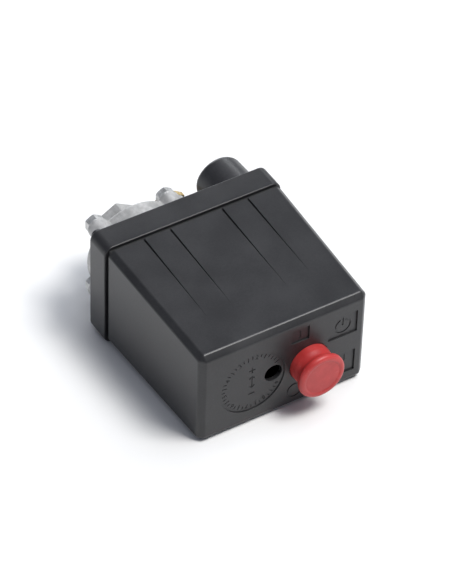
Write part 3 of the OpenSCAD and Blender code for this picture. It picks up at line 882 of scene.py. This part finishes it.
def makeSprings():
    for name, (node, wire, turns, joint, travel, rearHeld) in springs.items():
        low, high = box(node)
        at = ((low.x + high.x) / 2, (low.z + high.z) / 2)
        radius = (high.x - low.x) / 2 - wire
        coil = spring(at, radius, wire, turns, low.y, high.y)
        piece = newPiece(name, coil, paints["spring_steel"], casing, "spring_steel", node, weighted=False)
        if joint:
            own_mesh(piece)


print("mechanism")
makeAdjuster("rangeScrew", "range_screw", "range_adjuster", 2.9, 4.5, 4.3, 1.2, 1.0)
makeAdjuster("differentialScrew", "differential_screw", "differential_adjuster", 1.93, 3.4, 3.3, 0.9, 0.7)
makeSprings()
for name, node, width in (
    ("mainFrame", "main_frame", 0.25),
    ("mainLever", "main_lever", 0.25),
    ("pivotPin", "pivot_pin", 0.2),
    ("springFoot", "spring_foot", 0.25),
    ("pusher", "pusher", 0.3),
    ("diaphragm", "diaphragm", 0.2),
    ("diaphragmRing", "diaphragm_ring", 0.2),
    ("rangeSeat", "range_seat", 0.3),
    ("differentialSeat", "differential_seat", 0.3),
    ("knobStem", "knob_stem", 0.25),
    ("contactCarrier", "contact_carrier", 0.25),
    ("bridgeUpper", "contact_bridge_upper", 0.12),
    ("bridgeLower", "contact_bridge_lower", 0.12),
    ("terminalBlock", "terminal_block", 0.2),
    ("fixedContacts", "fixed_contacts", 0.1),
    ("terminalClamps", "terminal_clamps", 0.15),
    ("terminalScrews", "terminal_screws", 0.15),
    ("earthScrew", "earth_screw", 0.15),
    ("gasket", "cover_gasket", 0.12),
    ("unloaderFerrule", "unloader_ferrule", 0.12),
    ("unloaderPin", "unloader_pin", 0.1),
    ("contactSprings", "contact_springs", 0),
):
    if width:
        refined(name, node, width)
    else:
        frame["nodes"][node].data.materials[0] = paints[slotOf[node]]


cameraShape = {
    "at": (-466.8, -799.9, 844.3),
    "heading": -32.742,
    "tilt": -43.431,
    "roll": -1.904,
    "lens": 217.1,
}
floorShape = {
    "size": 9000,
    "contacts": ((seamBack, trayLow.z), (coverLow.y, coverLow.z + coverShape["lowDraft"])),
}


def makeCamera():
    data = bpy.data.cameras.new("studioCamera")
    data.lens = cameraShape["lens"]
    data.clip_start = 0.01
    data.clip_end = 60
    camera = bpy.data.objects.new("studioCamera", data)
    bpy.context.scene.collection.objects.link(camera)
    turns = (("heading", "Z"), ("tilt", "X"), ("roll", "Y"))
    pose = Matrix.Translation(Vector(cameraShape["at"]) * mm)
    for key, axis in turns:
        pose = pose @ Matrix.Rotation(math.radians(cameraShape[key]), 4, axis)
    camera.matrix_world = pose @ Matrix.Rotation(math.radians(90), 4, "X")
    bpy.context.scene.camera = camera


def makeFloor():
    # the switch rests on two edges, so the floor leans a little against its frame
    (y0, z0), (y1, z1) = floorShape["contacts"]
    bm = bmesh.new()
    bmesh.ops.create_grid(bm, x_segments=8, y_segments=8, size=floorShape["size"] / 2 * mm)
    lean = math.atan2(z0 - z1, y0 - y1)
    bmesh.ops.rotate(bm, cent=(0, 0, 0), matrix=Matrix.Rotation(lean, 3, "X"), verts=bm.verts)
    bmesh.ops.translate(bm, vec=(0, y0 * mm, z0 * mm), verts=bm.verts)
    mesh = bpy.data.meshes.new("studioFloor")
    bm.to_mesh(mesh)
    bm.free()
    floor = bpy.data.objects.new("studioFloor", mesh)
    bpy.context.scene.collection.objects.link(floor)
    paint = Paint("floorPaper", Roughness=0.9)
    paint.shader.inputs["Specular IOR Level"].default_value = 0.1
    shade = paint.noise(120, 3)
    mesh.materials.append(paint.finish(paint.mix(shade, grey(0.91, 0.99), grey(0.94, 0.99)), 0.9))


def softbox(name, at, target, size, power, colour=(1, 1, 1)):
    data = bpy.data.lights.new(name, "AREA")
    data.shape = "RECTANGLE"
    data.size = size[0] * mm
    data.size_y = size[1] * mm
    data.energy = power
    data.color = colour
    lamp = bpy.data.objects.new(name, data)
    bpy.context.scene.collection.objects.link(lamp)
    lamp.location = Vector(at) * mm
    lamp.rotation_mode = "QUATERNION"
    lamp.rotation_quaternion = (Vector(target) - Vector(at)).to_track_quat("-Z", "Y")


def makeWorld():
    # pale near the floor, dark higher up
    world = bpy.data.worlds.new("studioWorld")
    bpy.context.scene.world = world
    world.use_nodes = True
    tree = world.node_tree
    place = tree.nodes.new("ShaderNodeTexCoord")
    split = tree.nodes.new("ShaderNodeSeparateXYZ")
    ramp = tree.nodes.new("ShaderNodeValToRGB")
    tree.links.new(place.outputs["Generated"], split.inputs[0])
    tree.links.new(split.outputs["Z"], ramp.inputs[0])
    tree.links.new(ramp.outputs[0], tree.nodes["Background"].inputs["Color"])
    stops = ((0.0, (0.8, 0.83, 0.88)), (0.1, (0.7, 0.73, 0.8)), (0.24, (0.1, 0.11, 0.14)),
             (1.0, (0.24, 0.25, 0.29)))
    while len(ramp.color_ramp.elements) < len(stops):
        ramp.color_ramp.elements.new(0.5)
    for element, (spot, colour) in zip(ramp.color_ramp.elements, stops):
        element.position = spot
        element.color = (*colour, 1)
    tree.nodes["Background"].inputs["Strength"].default_value = 1.0


print("studio")
makeCamera()
makeFloor()
makeWorld()
softbox("keyLight", (634, -813, 2007), (10, -55, 0), (760, 760), 41, (1, 0.985, 0.965))
softbox("topLight", (480, -60, 1250), (10, -60, 0), (600, 1200), 5.8, (0.88, 0.93, 1))
softbox("edgeLight", (430, 900, 430), (10, -60, 0), (900, 260), 3.6, (0.95, 0.97, 1))
bpy.context.scene.view_settings.view_transform = "Standard"
